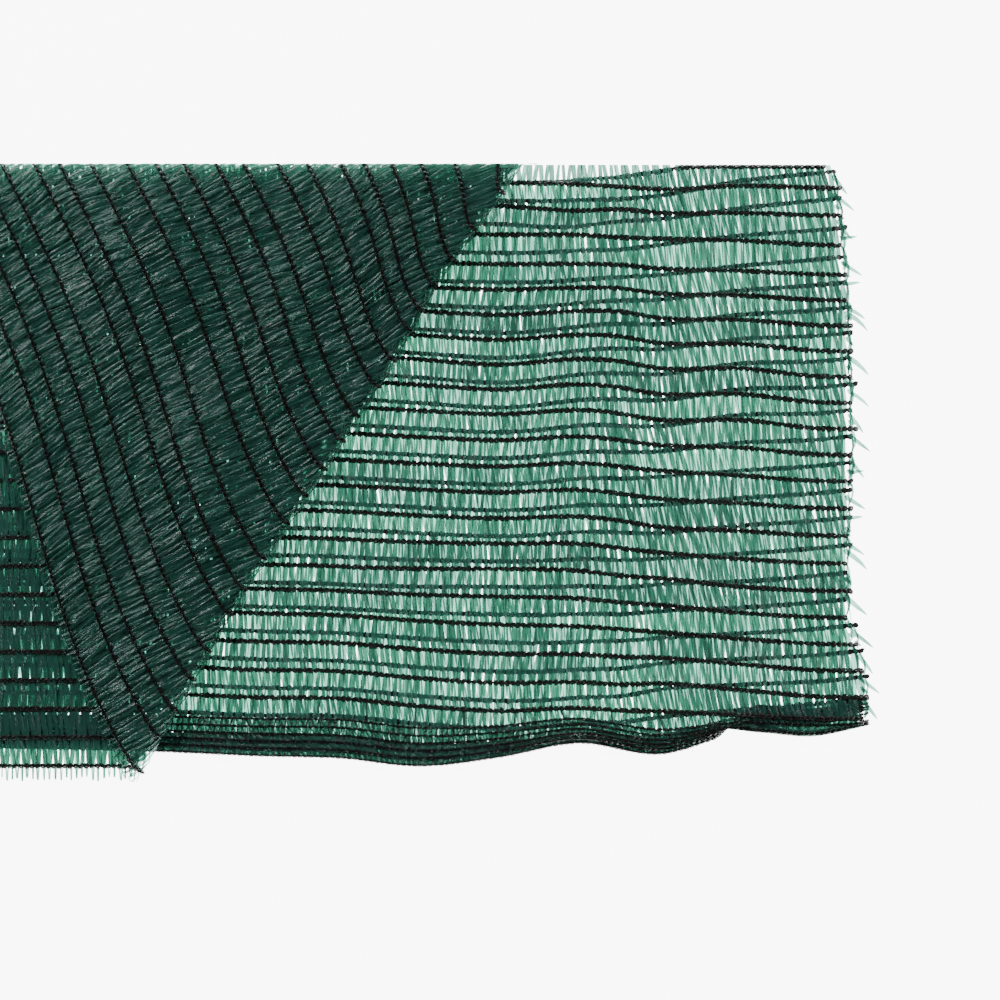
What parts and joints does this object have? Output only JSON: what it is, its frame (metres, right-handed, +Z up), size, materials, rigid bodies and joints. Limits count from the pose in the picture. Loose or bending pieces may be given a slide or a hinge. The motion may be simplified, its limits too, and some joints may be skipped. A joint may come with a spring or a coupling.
{
  "type": "plant shade cover",
  "caption": "Folded cut length of knitted green shade netting with dark stitch chains, a turned-back corner, a ruffled close-knit selvedge and a frayed cross-cut end; it lies flat.",
  "frame": {"origin": "under the middle of the folded cloth, on the surface it lies on", "axes": "+X along the stitch chains from the folded end to the frayed end, +Y across the cloth to the long top fold, +Z up"},
  "size_m": [0.286, 0.1952, 0.0103],
  "materials": {
    "folded_net": "thin satin green tape with matt black stitch chains",
    "loose_tape": "thin satin green tape"
  },
  "bodies": {
    "root": {"net_sheet": "folded_net", "frayed_end_upper": "loose_tape", "frayed_end_lower": "loose_tape"}
  },
  "joints": []
}
